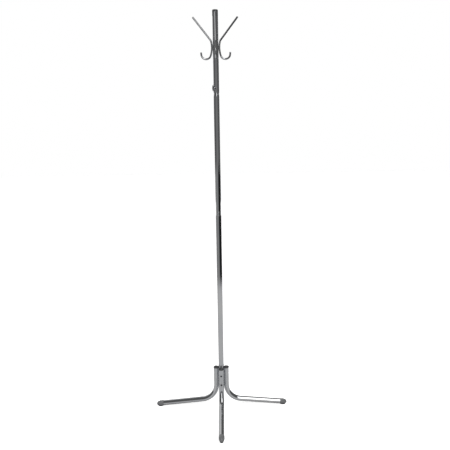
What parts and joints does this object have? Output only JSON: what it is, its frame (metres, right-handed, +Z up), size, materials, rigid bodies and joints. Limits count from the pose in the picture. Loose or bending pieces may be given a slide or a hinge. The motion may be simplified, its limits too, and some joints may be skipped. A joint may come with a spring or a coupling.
{
  "type": "standing coat rack",
  "caption": "Free-standing coat rack: a slim sectioned pole on splayed bent-tube legs, with double hooks around a head that turns.",
  "frame": {"origin": "on the floor, on the pole's axis", "axes": "+Z up along the pole; legs and hooks point along -X (left), -Y (front), +X (right) and +Y (back)"},
  "size_m": [0.644, 0.644, 1.85],
  "materials": {
    "chrome": "polished chrome plate",
    "black_plastic": "satin moulded plastic",
    "grey_plastic": "satin moulded plastic",
    "zinc_steel": "bright zinc plate",
    "weld_metal": "weld bead under chrome plate"
  },
  "bodies": {
    "base": {"lower_pole_tube": "chrome", "pole_bottom_plug": "black_plastic", "hub_core": "zinc_steel", "leg_right": "chrome", "leg_back": "chrome", "leg_left": "chrome", "leg_front": "chrome", "leg_top_plug_right": "black_plastic", "leg_top_plug_back": "black_plastic", "leg_top_plug_left": "black_plastic", "leg_top_plug_front": "black_plastic", "foot_right": "grey_plastic", "foot_back": "grey_plastic", "foot_left": "grey_plastic", "foot_front": "grey_plastic", "leg_screws_right": "zinc_steel", "leg_screws_back": "zinc_steel", "leg_screws_left": "zinc_steel", "leg_screws_front": "zinc_steel", "saddle_washers_right": "zinc_steel", "saddle_washers_back": "zinc_steel", "saddle_washers_left": "zinc_steel", "saddle_washers_front": "zinc_steel"},
    "upper_pole": {"middle_pole_tube": "chrome", "catch_spring": "zinc_steel"},
    "catch": {"catch_button": "chrome"},
    "head": {"head_tube": "chrome", "top_cap": "black_plastic", "lock_boss": "chrome", "hook_right": "chrome", "hook_back": "chrome", "hook_left": "chrome", "hook_front": "chrome", "hook_weld_right": "weld_metal", "hook_weld_back": "weld_metal", "hook_weld_left": "weld_metal", "hook_weld_front": "weld_metal"},
    "hand_screw": {"lock_screw": "chrome"}
  },
  "joints": [
    {"name": "pole_lift", "type": "slide", "parent": "base", "child": "upper_pole", "axis": [0, 0, 1], "range_m": [0, 0.07]},
    {"name": "catch_press", "type": "slide", "parent": "upper_pole", "child": "catch", "axis": [0, 1, 0], "range_m": [0, 0.003], "stiffness_N_per_m": 600, "springref_m": -0.003, "deforming": ["catch_spring"]},
    {"name": "head_turn", "type": "hinge", "parent": "upper_pole", "child": "head", "pos_m": [0, 0, 1.55], "axis": [0, 0, 1], "continuous": true},
    {"name": "hand_screw_turn", "type": "hinge", "parent": "head", "child": "hand_screw", "pos_m": [-0.01204, -0.01597, 1.523], "axis": [-0.6018, -0.7986, 0], "continuous": true}
  ]
}
